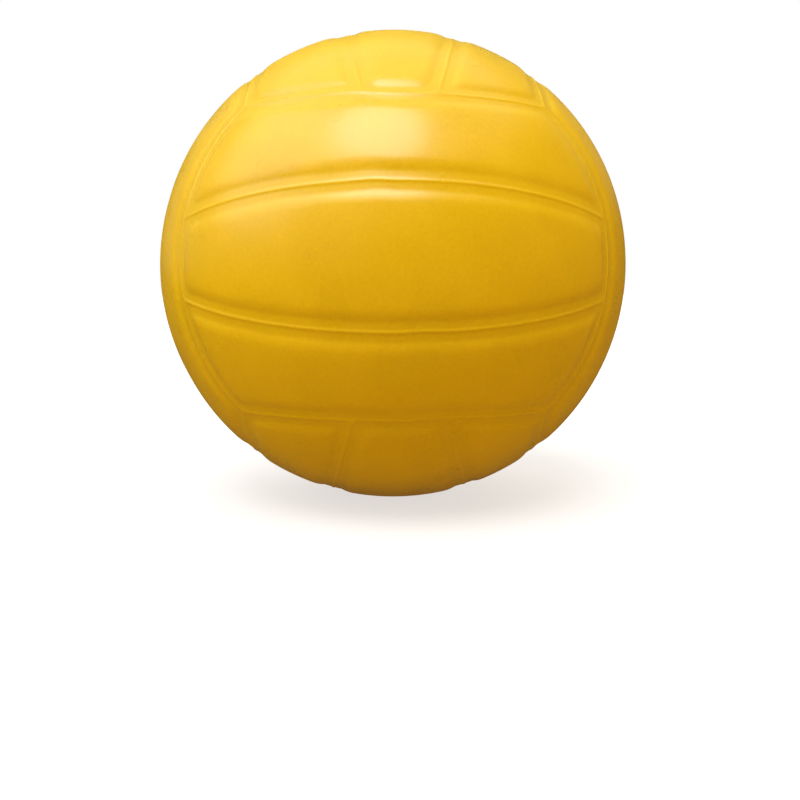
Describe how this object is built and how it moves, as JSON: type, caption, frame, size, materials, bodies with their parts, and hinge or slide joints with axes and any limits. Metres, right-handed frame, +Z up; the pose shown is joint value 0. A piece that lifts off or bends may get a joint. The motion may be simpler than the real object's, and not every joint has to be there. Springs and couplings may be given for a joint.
{
  "type": "inflatable play ball",
  "caption": "Hollow moulded vinyl play ball with volleyball-style panels in relief, ribbed grooves between them and a needle valve recessed in its back.",
  "frame": {"origin": "centre of the ball", "axes": "+Z up, -Y towards the face with the print area, +Y out through the valve, +X to the right seen from the front"},
  "size_m": [0.152, 0.1513, 0.152],
  "materials": {
    "yellow_vinyl": "soft semi-gloss moulded vinyl",
    "valve_vinyl": "matt moulded vinyl",
    "gum_rubber": "matt soft rubber"
  },
  "bodies": {
    "root": {"ball_shell": "yellow_vinyl", "valve_housing": "valve_vinyl", "valve_core": "gum_rubber"}
  },
  "joints": []
}
